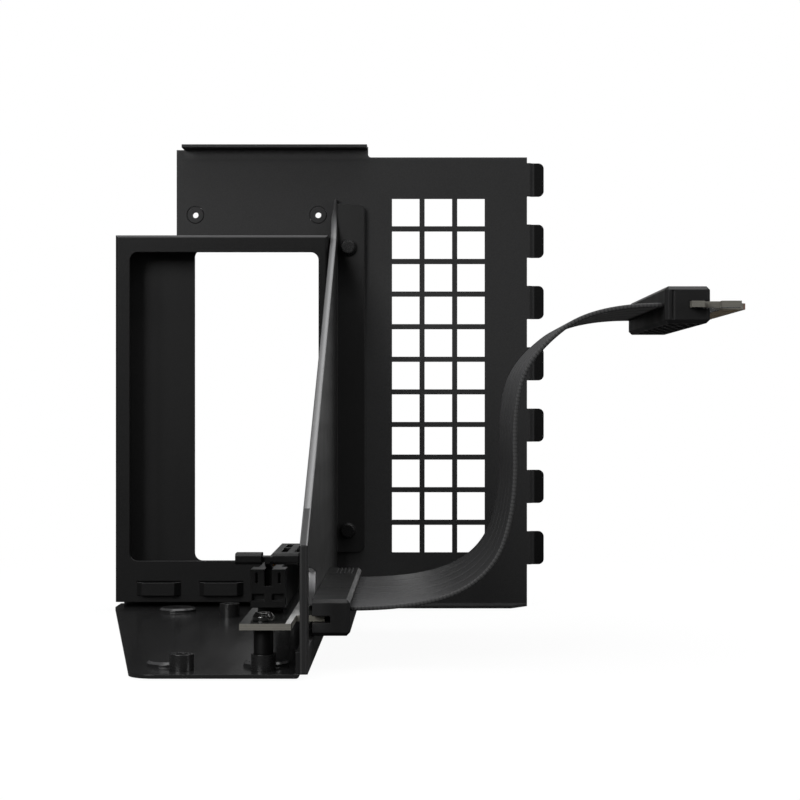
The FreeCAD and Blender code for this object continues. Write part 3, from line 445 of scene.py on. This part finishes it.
def tray_finish(colour):
    """Smooth satin coat with faint long streaks from front to back, and a painted highlight on slopes.
    """
    made = Finish("satin_coat")
    streak = made.grain(60, 3, made.stretched((4, 0.5, 4)))
    peel = made.grain(PEEL)
    upright = made.facing()[2]
    # Painted highlight: the slopes of the embosses are about three times lighter.
    slope = made.product(made.ramp(upright, 0, 1, *SLOPE_START), made.ramp(upright, 1, 0, *SLOPE_END))
    flat = made.shade(colour, peel, 0.85, 1.15)
    made.set(
        Base_Color=made.mix(slope, flat, made.shade(colour, peel, 2.8, 3.8)),
        Roughness=made.ramp(streak, 0.16, 0.22),
        Normal=made.bump(peel, 0.00003, 0.15, made.soft_edges(0.0003)),
        Specular_IOR_Level=0.3,
    )
    return made.material


def oxide_finish(colour):
    """Black oxide on turned steel: fine rings of tool marks across the axis, and uneven gloss."""
    made = Finish("black_oxide")
    turned = made.grain(3000, where=made.stretched((1, 1, 4)))
    made.set(
        Base_Color=made.shade(colour, turned, 0.7, 1.4),
        Roughness=made.ramp(turned, 0.2, 0.3),
        Normal=made.bump(turned, 0.00003, 0.2, made.soft_edges(0.0002)),
        Specular_IOR_Level=0.6,
    )
    return made.material


def zinc_finish(colour):
    """Zinc plating: bright, with cloudy gloss and a fine grain."""
    made = Finish("zinc_plate")
    cloud = made.grain(700, 3)
    made.set(
        Base_Color=made.shade(colour, cloud, 0.85, 1.1),
        Roughness=made.ramp(cloud, 0.1, 0.18),
        Normal=made.bump(made.grain(5000), 0.00001, 0.15, made.soft_edges(0.0002)),
        Metallic=1.0,
    )
    return made.material


def plastic_finish(name, colour):
    """Moulded plastic: fine spark texture, soft edges and slightly uneven gloss."""
    made = Finish(name)
    spark = made.grain(4200)
    flow = made.grain(90)
    made.set(
        Base_Color=made.shade(colour, flow, 0.85, 1.2),
        Roughness=made.ramp(flow, 0.38, 0.48),
        Normal=made.bump(spark, 0.00004, 0.3, made.soft_edges(0.00035)),
        Specular_IOR_Level=0.2,
    )
    return made.material


def board_finish(name, colours, end, with_reflection):
    """Circuit board: glossy mask over faint traces on its faces, bare layered laminate on its cut edges.
    Copper shows in the cut at one end of the board, toward minus or plus X. A board with the painted
    reflection has a bright strip on its face, past which the face is matt."""
    made = Finish(name)
    sideways, _, upright = made.facing("True Normal")
    face = made.above(made.math("ABSOLUTE", upright), FACE_FACING)
    layers = made.waves("Z", 780.0, 1.2, 4.0)
    track = made.ramp(made.waves("Y", 320.0, 1.5, 0.4), 0, 1, *TRACE_EDGE)
    top = made.shade(colours.mask, track, 0.85, 1.5)
    gloss = BOARD_GLOSS
    # Painted reflection: a bright strip on the riser board's face.
    if with_reflection:
        x, y, _ = made.parts(made.place["Object"])
        gloss = made.ramp(x, gloss, 0.0, *STRIP_MATT)
        strip = made.product(made.above(x, REFLECTION_X[0]), made.below(x, REFLECTION_X[1]), made.below(y, REFLECTION_BACK))
        top = made.mix(strip, top, made.shade(colours.strip_reflection, made.grain(900, 3), 0.85, 1.1))
    weave = made.product(layers, made.grain(1800, 3))
    at_end = made.above(made.product(sideways, end), END_FACING)
    cut = made.shade(colours.laminate, weave, 0.75, 1.35)
    cut = made.mix(at_end, cut, made.shade(colours.copper, layers, 0.7, 1.2))
    made.set(
        Base_Color=made.mix(face, cut, top),
        Roughness=made.mix(face, made.ramp(layers, 0.7, 0.55), made.ramp(made.grain(60), 0.04, 0.08)),
        Normal=made.bump(made.product(track, face), 0.00002, 0.3),
        Specular_IOR_Level=gloss,
    )
    return made.material


def gold_finish(colour):
    """Gold plating with faint wiping marks along the contact."""
    made = Finish("gold_plate")
    wipe = made.grain(900, 3, made.stretched((0.4, 6, 1)))
    made.set(
        Base_Color=made.shade(colour, wipe, 0.85, 1.15),
        Roughness=made.ramp(wipe, 0.16, 0.34),
        Normal=made.bump(wipe, 0.00001, 0.2),
        Metallic=1.0,
    )
    return made.material


def solder_finish(colour):
    """Dull solder with a frosty grain."""
    made = Finish("solder")
    frost = made.grain(3500, 3)
    made.set(
        Base_Color=made.shade(colour, frost, 0.8, 1.1),
        Roughness=made.ramp(frost, 0.25, 0.5),
        Metallic=1.0,
    )
    return made.material


def jacket_finish(colour):
    """Ribbon jacket: satin, streaked along the wires, with moulding ticks on the strips' dark cut edges,
    and painted light that makes it lighter toward both ends and darker between them.
    The strip's own map runs across the strip from 0 to 1 and along it in millimetres."""
    made = Finish("ribbon_jacket")
    across, along, _ = made.parts(made.place["UV"])
    streak = made.grain(1.0, 3, made.stretched((60, 0.05, 1), "UV"))
    rim = made.math("ABSOLUTE", made.math("SUBTRACT", across, 0.5))
    tick = made.above(made.math("FRACT", along), TICK_GAP)
    # Painted light and shade: lighter toward both ends, darker in between.
    first, last = made.ramp(along, 1, 0, *LIT_FIRST), made.ramp(along, 0, 1, *LIT_LAST)
    shaded_middle, lit_ends = made.shade(colour, streak, 0.52, 0.92), made.shade(colour, streak, 1.15, 1.95)
    satin = made.mix(made.math("MAXIMUM", first, last), shaded_middle, lit_ends)
    edge = made.shade(colour, tick, 0.8, 0.3)
    made.set(
        Base_Color=made.mix(made.above(rim, CUT_EDGE), satin, edge),
        Roughness=made.math(
            "MAXIMUM", made.ramp(streak, 0.26, 0.38), made.ramp(rim, 0.2, 0.7, *ROUGH_RIM)
        ),
        Normal=made.bump(made.grain(3000), 0.00002, 0.25),
        Specular_IOR_Level=0.5,
    )
    return made.material


def dress_nodes(names, material):
    """Give CAD nodes a finish."""
    for name in names:
        piece = frame["nodes"][name]
        piece.data.materials.clear()
        piece.data.materials.append(material)


def new_piece(name, points, faces, material, smooth=False):
    """A mesh object at the origin from whole arrays of points and quads."""
    mesh = bpy.data.meshes.new(name)
    mesh.from_pydata(points.reshape(-1, 3), [], faces.tolist())
    mesh.validate()
    mesh.polygons.foreach_set("use_smooth", np.full(len(mesh.polygons), smooth))
    mesh.materials.append(material)
    piece = bpy.data.objects.new(name, mesh)
    bpy.context.scene.collection.objects.link(piece)
    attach(piece, BODY)
    return piece


def grid_faces(rows, columns, closed):
    """Quads of a grid of points, row after row. A closed grid joins its last column to its first."""
    row = np.arange(rows - 1)[:, None]
    column = np.arange(columns if closed else columns - 1)[None, :]
    right = (column + 1) % columns
    corners = [row * columns + column, row * columns + right]
    corners += [(row + 1) * columns + right, (row + 1) * columns + column]
    return np.stack(np.broadcast_arrays(*corners), axis=-1).reshape(-1, 4)


def repeated(faces, count, points):
    """Faces of so many copies of a shape with so many points: their numbers go up by that each time."""
    steps = np.arange(count)[:, None, None] * points
    return (faces[None] + steps).reshape(-1, faces.shape[1])


def copies(points, faces, offsets):
    """The same small shape at each offset: its points moved, its face numbers shifted."""
    moved = points[None] + np.asarray(offsets)[:, None]
    return moved.reshape(-1, 3), repeated(faces, len(offsets), len(points))


def row_of_spots(x, along, z):
    """Points at one X and Z, and at each Y of a row."""
    return np.stack([np.full(len(along), x), along, np.full(len(along), z)], axis=-1)


def turned_shape(radii, heights, sides):
    """A profile turned about Z: each point is radius times the cosine and sine of the turn, at its
    height. The first and last radius are near nothing, which closes the ends."""
    turn = np.arange(sides) * 2 * np.pi / sides
    ring = np.stack([np.cos(turn), np.sin(turn)], axis=-1)
    flat = np.asarray(radii)[:, None, None] * ring[None]
    level = np.broadcast_to(np.asarray(heights)[:, None, None], (len(radii), sides, 1))
    return np.concatenate([flat, level], axis=-1).reshape(-1, 3), grid_faces(len(radii), sides, True)


def route_line(y):
    """Points in order along the ribbon's smooth line, whose control points are the route's corners."""
    curve = bpy.data.curves.new("route", "CURVE")
    curve.dimensions = "3D"
    curve.resolution_u = ROUTE_STEPS
    spline = curve.splines.new("NURBS")
    spline.points.add(len(ROUTE) - 1)
    x, z = np.array(ROUTE).T
    control = np.stack([x, np.full(len(x), y), z, np.ones(len(x))], axis=-1)
    spline.points.foreach_set("co", control.ravel())
    spline.order_u = ROUTE_ORDER
    spline.use_endpoint_u = True
    holder = bpy.data.objects.new("route", curve)
    bpy.context.scene.collection.objects.link(holder)
    mesh = bpy.data.meshes.new_from_object(holder)
    line = np.zeros(len(mesh.vertices) * 3)
    mesh.vertices.foreach_get("co", line)
    bpy.data.objects.remove(holder)
    bpy.data.curves.remove(curve)
    bpy.data.meshes.remove(mesh)
    return line.reshape(-1, 3)


def step_lengths(line):
    """Distance from each point of a line to the next."""
    return np.linalg.norm(np.diff(line, axis=0), axis=1)


def strip_section(width, thick, sizes):
    """Closed section of a strip, as distances across and up, from one edge over the top and back below.
    Its height is half the thickness, less a dip that follows a cosine of the distance across, and it
    falls to a rounded edge by a quarter circle at either side."""
    count = POINTS_PER_WIRE * round(width / sizes.wire_pitch) + 1
    across = np.linspace(-width / 2, width / 2, count)
    wave = 0.5 - 0.5 * np.cos(2 * np.pi * (across + width / 2) / sizes.wire_pitch)
    inside = np.clip((width / 2 - np.abs(across)) / sizes.strip_edge, 0, 1)
    rounding = sizes.strip_edge * (1 - np.sqrt(1 - (1 - inside) ** 2))
    height = thick / 2 - sizes.wire_dip * (1 - wave) * (inside >= 1) - rounding
    share = across / width + 0.5
    over = np.stack([across, height, share], axis=-1)
    under = np.stack([across, -height, share], axis=-1)[::-1]
    return np.concatenate([over, under])


def ribbon_strip(name, line, section, material):
    """A strip of the ribbon: its section carried along the line, across in Y and up along the line's
    upward normal, which is the line's direction turned a quarter in the route's plane."""
    way = np.gradient(line, axis=0)
    way /= np.linalg.norm(way, axis=1)[:, None]
    up = np.stack([-way[:, 2], np.zeros(len(way)), way[:, 0]], axis=-1)
    points = line[:, None] + section[None, :, 1, None] * up[:, None]
    points[:, :, 1] += section[None, :, 0]
    rows, columns = points.shape[:2]
    tube = grid_faces(rows, columns, True)[:, ::-1]
    left = np.arange(columns // 2 - 1)
    cap = np.stack([left, left + 1, columns - 2 - left, columns - 1 - left], axis=-1)
    faces = np.concatenate([tube, cap, cap[:, ::-1] + (rows - 1) * columns])
    piece = new_piece(name, points, faces, material, True)
    along = np.concatenate([[0], np.cumsum(step_lengths(line))]) * MM_PER_M
    chart = np.stack(np.broadcast_arrays(section[None, :, 2], along[:, None]), axis=-1).reshape(-1, 2)
    corners = np.zeros(len(piece.data.loops), int)
    piece.data.loops.foreach_get("vertex_index", corners)
    layer = piece.data.uv_layers.new(name="strip")
    layer.data.foreach_set("uv", chart[corners].ravel())
    return piece


class CARDMOUNT_OT_stage(bpy.types.Operator):
    """Camera, floor, world and lamps"""

    bl_idname = "card_mount.stage"
    bl_label = "Stage"

    def execute(self, context):
        scene = context.scene
        scene.view_settings.view_transform = "Standard"
        self.camera(scene)
        self.floor(scene)
        self.world(scene)
        for lamp in LAMPS:
            self.lamp(scene, *lamp)
        return {"FINISHED"}

    def camera(self, scene):
        """A long lens that looks level at the rear plate."""
        data = bpy.data.cameras.new("camera")
        data.lens = LENS
        data.sensor_width = SENSOR
        data.shift_x, data.shift_y = CAMERA_SHIFT
        data.clip_start = NEAREST
        holder = bpy.data.objects.new("camera", data)
        holder.location = CAMERA_PLACE
        holder.rotation_euler = (math.radians(90), 0, 0)
        scene.collection.objects.link(holder)
        scene.camera = holder

    def lamp(self, scene, name, place, size, power):
        """A soft box that faces the middle of the mount."""
        data = bpy.data.lights.new(name, "AREA")
        data.shape = "RECTANGLE"
        data.size, data.size_y = size
        data.energy = power
        holder = bpy.data.objects.new(name, data)
        holder.location = place
        aim = Vector(LAMP_AIM) - Vector(place)
        holder.rotation_euler = aim.to_track_quat("-Z", "Y").to_euler()
        scene.collection.objects.link(holder)

    def floor(self, scene):
        """A pale floor: white to the camera, with a faint shadow near the mount."""
        side = np.linspace(-FLOOR_REACH, FLOOR_REACH, FLOOR_POINTS)
        across, back = np.meshgrid(side, side)
        points = np.stack([across, back, np.full(across.shape, FLOOR_LEVEL)], axis=-1)
        mesh = bpy.data.meshes.new("floor")
        faces = grid_faces(FLOOR_POINTS, FLOOR_POINTS, False)
        mesh.from_pydata(points.reshape(-1, 3), [], faces.tolist())
        material = bpy.data.materials.new("pale_floor")
        material.use_nodes = True
        material.node_tree.nodes.clear()
        made = Nodes(material.node_tree)
        paths = made.node("ShaderNodeLightPath").outputs
        place = made.node("ShaderNodeTexCoord").outputs["Object"]
        away = made.node("ShaderNodeVectorMath", {0: place}, operation="LENGTH").outputs["Value"]
        glow = made.node("ShaderNodeEmission").outputs[0]
        pale = made.node("ShaderNodeBsdfDiffuse", {"Color": FLOOR_PALE}).outputs[0]
        dim = made.node("ShaderNodeBsdfDiffuse", {"Color": FLOOR_DIM}).outputs[0]
        seen = made.blend(made.ramp(away, *FLOOR_GLOW, *FLOOR_FADE), pale, glow)
        surface = made.blend(paths["Is Camera Ray"], dim, seen)
        made.node("ShaderNodeOutputMaterial", {"Surface": surface})
        mesh.materials.append(material)
        holder = bpy.data.objects.new("floor", mesh)
        scene.collection.objects.link(holder)

    def world(self, scene):
        """White to the camera. Shiny surfaces see a dim room that is white at the right of its back."""
        world = bpy.data.worlds.new("studio")
        world.use_nodes = True
        scene.world = world
        world.node_tree.nodes.clear()
        made = Nodes(world.node_tree)
        paths = made.node("ShaderNodeLightPath").outputs
        x, y, _ = made.parts(made.node("ShaderNodeTexCoord").outputs["Generated"])
        right = made.ramp(x, 0.0, ROOM_WHITE, *ROOM_SPLIT, interpolation_type="SMOOTHSTEP")
        links = {0: right, 1: y, 2: ROOM_DIM}
        back = made.node("ShaderNodeMath", links, operation="MULTIPLY_ADD", use_clamp=True).outputs[0]
        ambient, room, white = [
            made.node("ShaderNodeBackground", {"Color": colour}).outputs[0]
            for colour in (AMBIENT, back, WHITE)
        ]
        shiny = made.math("MAXIMUM", paths["Is Glossy Ray"], paths["Is Transmission Ray"])
        surface = made.blend(paths["Is Camera Ray"], made.blend(shiny, ambient, room), white)
        made.node("ShaderNodeOutputWorld", {"Surface": surface})


class CARDMOUNT_OT_ribbon(bpy.types.Operator):
    """Five strips of flat cable from the cable cover to the plug"""

    bl_idname = "card_mount.ribbon"
    bl_label = "Ribbon"

    def execute(self, context):
        sizes = context.scene.card_mount_sizes
        material = jacket_finish(context.scene.card_mount_colours.jacket)
        for node in STRIPS:
            low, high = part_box(node)
            width = high.y - low.y
            line = route_line((low.y + high.y) / 2)
            section = strip_section(width, STRIP_THICK, sizes)
            piece = ribbon_strip(f"{node}_cable", line, section, material)
            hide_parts(node)
        return {"FINISHED"}


class CARDMOUNT_OT_plates(bpy.types.Operator):
    """Coats of the rear plate, the bracket frame, the side plate and the tray"""

    bl_idname = "card_mount.plates"
    bl_label = "Plates"

    def execute(self, context):
        colours = context.scene.card_mount_colours
        dress_nodes(["rear_plate", "clinch_nuts"], plate_finish(colours.coat))
        dress_nodes(["side_plate"], side_finish(colours.side))
        # The frame's coat has a painted highlight on upward faces, nine and seven times lighter.
        coat = Coat("frame_coat", colours.frame, (9.0, 7.0))
        dress_nodes(["bracket_frame"], coat.done(gloss=0.1, soft=0.0003))
        dress_nodes(["base_tray"], tray_finish(colours.tray))
        return {"FINISHED"}


class CARDMOUNT_OT_hardware(bpy.types.Operator):
    """Posts in the tray and the screws of side plate and riser board"""

    bl_idname = "card_mount.hardware"
    bl_label = "Hardware"

    def execute(self, context):
        colours = context.scene.card_mount_colours
        dress_nodes(DARK_HARDWARE, oxide_finish(colours.oxide))
        dress_nodes(["board_screws"], zinc_finish(colours.zinc))
        return {"FINISHED"}


class CARDMOUNT_OT_boards(bpy.types.Operator):
    """Riser board and plug board, the plug's gold pads and the socket's solder tails"""

    bl_idname = "card_mount.boards"
    bl_label = "Boards"

    def execute(self, context):
        sizes = context.scene.card_mount_sizes
        colours = context.scene.card_mount_colours
        dress_nodes(["riser_board"], board_finish("riser_laminate", colours, -1, True))
        dress_nodes(["plug_board"], board_finish("plug_laminate", colours, 1, False))
        self.pads(sizes, gold_finish(colours.gold))
        self.tails(sizes, solder_finish(colours.solder))
        return {"FINISHED"}

    def pads(self, sizes, material):
        """Thin gold plates in a row on both faces of the plug's tongue, left out at its key. Each is a
        box about its spot: every sign of half its size along each axis."""
        low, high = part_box("plug_board")
        rows = np.concatenate([
            np.arange(low.y + PAD_FIRST, low.y + PAD_KEY, sizes.pad_pitch),
            np.arange(low.y + PAD_BACK, high.y - PAD_LAST, sizes.pad_pitch),
        ])
        plate = BOX_SIGNS * np.array((sizes.pad_length, sizes.pad_width, sizes.pad_height)) / 2
        x = high.x - PAD_RIM - sizes.pad_length / 2
        proud = sizes.pad_height / 2
        spots = [row_of_spots(x, rows, z) for z in (low.z - proud, high.z + proud)]
        points, quads = copies(plate, BOX_FACES, np.concatenate(spots))
        new_piece("plug_pads", points, quads, material)

    def tails(self, sizes, material):
        """Rows of solder cones below the riser board: a short profile turned about Z, wide at the
        board."""
        radii = np.array(TAIL_RADII) * sizes.tail_radius
        heights = np.array(TAIL_HEIGHTS) * sizes.tail_height
        cone, faces = turned_shape(radii, heights, TAIL_SIDES)
        low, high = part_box("socket_body")
        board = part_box("riser_board")[0].z
        middle = (low.x + high.x) / 2
        rows = np.arange(low.y + TAIL_FIRST, high.y - TAIL_LAST, sizes.tail_pitch)
        spots = [
            row_of_spots(middle + side, rows + shift * sizes.tail_pitch, board)
            for side, shift in TAIL_ROWS
        ]
        points, quads = copies(cone, faces, np.concatenate(spots))
        new_piece("solder_tails", points, quads, material, True)


class CARDMOUNT_OT_socket(bpy.types.Operator):
    """Card socket with its contacts and its latch"""

    bl_idname = "card_mount.socket"
    bl_label = "Socket"

    def execute(self, context):
        colours = context.scene.card_mount_colours
        plastic = plastic_finish("socket_plastic", colours.socket)
        dress_nodes(["socket_body", "card_latch", "board_spacers"], plastic)
        dress_nodes(["socket_contacts"], gold_finish(colours.gold))
        return {"FINISHED"}


class CARDMOUNT_OT_covers(bpy.types.Operator):
    """Moulded covers at both ends of the ribbon"""

    bl_idname = "card_mount.covers"
    bl_label = "Covers"

    def execute(self, context):
        plastic = plastic_finish("cover_plastic", context.scene.card_mount_colours.plastic)
        dress_nodes(["cable_cover", "plug_cover"], plastic)
        self.grip(context.scene.card_mount_sizes, plastic)
        return {"FINISHED"}

    def grip(self, sizes, material):
        """A net of crossing bars in the recess under the plug. Each bar runs from one side of the recess
        to the other while it goes on by the run; bars past an end are cut off there."""
        low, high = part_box("plug_cover")
        left, right = low.x + sizes.grip_inset, high.x - sizes.grip_inset
        near, far = low.y + sizes.grip_margin, high.y - sizes.grip_margin
        starts = np.arange(near - sizes.grip_run, far, sizes.grip_pitch)
        first = np.clip((near - starts) / sizes.grip_run, 0, 1)
        last = np.clip((far - starts) / sizes.grip_run, 0, 1)
        kept = last - first > GRIP_SHORTEST
        share = np.stack([first, last], axis=-1)[kept]
        across = left + share * (right - left)
        along = starts[kept][:, None] + share * sizes.grip_run
        both = np.concatenate([across, left + right - across])
        line = np.stack([both, np.concatenate([along, along])], axis=-1)
        way = line[:, 1] - line[:, 0]
        way /= np.linalg.norm(way, axis=1)[:, None]
        side = np.stack([way[:, 1], -way[:, 0]], axis=-1) * sizes.grip_width / 2
        end, _, top = (BOX_SIGNS.T + 1) // 2
        flat = line[:, end] - BOX_SIGNS[None, :, 1, None] * side[:, None]
        level = low.z + sizes.grip_low + top * sizes.grip_height
        level = np.broadcast_to(level[None, :, None], flat.shape[:2] + (1,))
        points = np.concatenate([flat, level], axis=-1)
        quads = repeated(BOX_FACES, len(points), len(BOX_SIGNS))
        new_piece("plug_grip", points, quads, material)


class CARDMOUNT_PT_panel(bpy.types.Panel):
    """Sizes, colours and steps of the card mount"""

    bl_idname = "CARDMOUNT_PT_panel"
    bl_label = "Card mount"
    bl_space_type = "VIEW_3D"
    bl_region_type = "UI"
    bl_category = "Card mount"

    def draw(self, context):
        for step in STEPS:
            self.layout.operator(step.bl_idname)
        for group in (context.scene.card_mount_sizes, context.scene.card_mount_colours):
            for name in group.__annotations__:
                self.layout.prop(group, name)


STEPS = (
    CARDMOUNT_OT_stage,
    CARDMOUNT_OT_ribbon,
    CARDMOUNT_OT_plates,
    CARDMOUNT_OT_hardware,
    CARDMOUNT_OT_boards,
    CARDMOUNT_OT_socket,
    CARDMOUNT_OT_covers,
)
CLASSES = (MountSizes, MountColours, *STEPS, CARDMOUNT_PT_panel)


def register():
    for kind in CLASSES:
        bpy.utils.register_class(kind)
    bpy.types.Scene.card_mount_sizes = bpy.props.PointerProperty(type=MountSizes)
    bpy.types.Scene.card_mount_colours = bpy.props.PointerProperty(type=MountColours)


def unregister():
    del bpy.types.Scene.card_mount_colours
    del bpy.types.Scene.card_mount_sizes
    for kind in reversed(CLASSES):
        bpy.utils.unregister_class(kind)


def main():
    """Build the looks step by step."""
    register()
    bpy.ops.card_mount.stage()
    bpy.ops.card_mount.ribbon()
    bpy.ops.card_mount.plates()
    bpy.ops.card_mount.hardware()
    bpy.ops.card_mount.boards()
    bpy.ops.card_mount.socket()
    bpy.ops.card_mount.covers()


if __name__ == "__main__":
    main()
